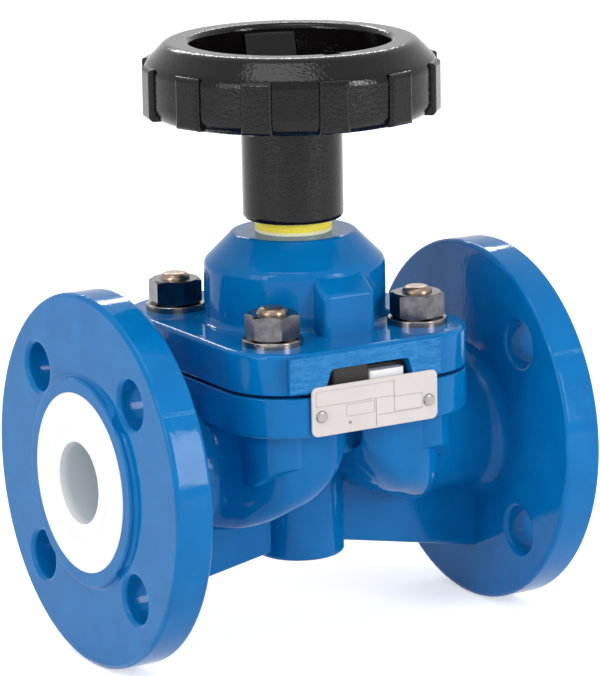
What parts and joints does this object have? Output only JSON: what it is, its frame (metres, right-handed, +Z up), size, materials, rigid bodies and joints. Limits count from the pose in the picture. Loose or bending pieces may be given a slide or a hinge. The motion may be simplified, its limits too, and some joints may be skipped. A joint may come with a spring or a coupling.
{
  "type": "diaphragm valve",
  "caption": "Flanged weir diaphragm valve with a plastic lining, a bolted bonnet, a rising handwheel and a position indicator sleeve.",
  "frame": {"origin": "under the middle of the valve, level with the lowest point of the round flange rims", "axes": "+Z up the spindle, +X along the pipe towards the outlet, nameplate towards -Y"},
  "size_m": [0.2, 0.15, 0.242],
  "materials": {
    "blue_enamel": "glossy thick enamel over cast iron",
    "lining_white": "smooth moulded fluoroplastic",
    "diaphragm_white": "smooth sintered plastic",
    "rubber_black": "matt moulded rubber",
    "wheel_black": "slightly grained moulded plastic",
    "indicator_yellow": "smooth moulded plastic",
    "fastener_steel": "rolled stainless steel",
    "spindle_steel": "turned steel",
    "bush_bronze": "turned bronze",
    "plain_iron": "phosphated cast iron",
    "pad_plastic": "turned plastic",
    "plate_silver": "satin printed sheet"
  },
  "bodies": {
    "root": {"valve_body": "blue_enamel", "body_lining": "lining_white", "diaphragm_face": "diaphragm_white", "diaphragm_backing": "rubber_black", "bonnet": "blue_enamel", "spindle_bush": "bush_bronze", "spindle_seal": "rubber_black", "indicator_sleeve": "indicator_yellow", "hub_wiper_ring": "rubber_black", "bonnet_studs": "fastener_steel", "bonnet_washers": "fastener_steel", "bonnet_nuts": "fastener_steel", "nameplate": "plate_silver", "nameplate_rivets": "fastener_steel"},
    "compressor_body": {"compressor": "plain_iron", "compressor_thrust_pad": "pad_plastic", "spindle_pins": "fastener_steel", "diaphragm_stud": "fastener_steel"},
    "wheel_body": {"spindle": "spindle_steel", "handwheel": "wheel_black", "handwheel_washer": "fastener_steel", "handwheel_nut": "fastener_steel"}
  },
  "joints": [
    {"name": "lift", "type": "slide", "parent": "root", "child": "compressor_body", "axis": [0, 0, 1], "range_m": [-0.0046, 0.0116], "deforming": ["diaphragm_face", "diaphragm_backing"]},
    {"name": "wheel_spin", "type": "hinge", "parent": "compressor_body", "child": "wheel_body", "pos_m": [0, 0, 0.165], "axis": [0, 0, 1], "range_deg": [-405, 1035]}
  ],
  "couplings": [
    {"joint": "lift", "follows": "wheel_spin", "m_per_rad": 0.00063662}
  ]
}
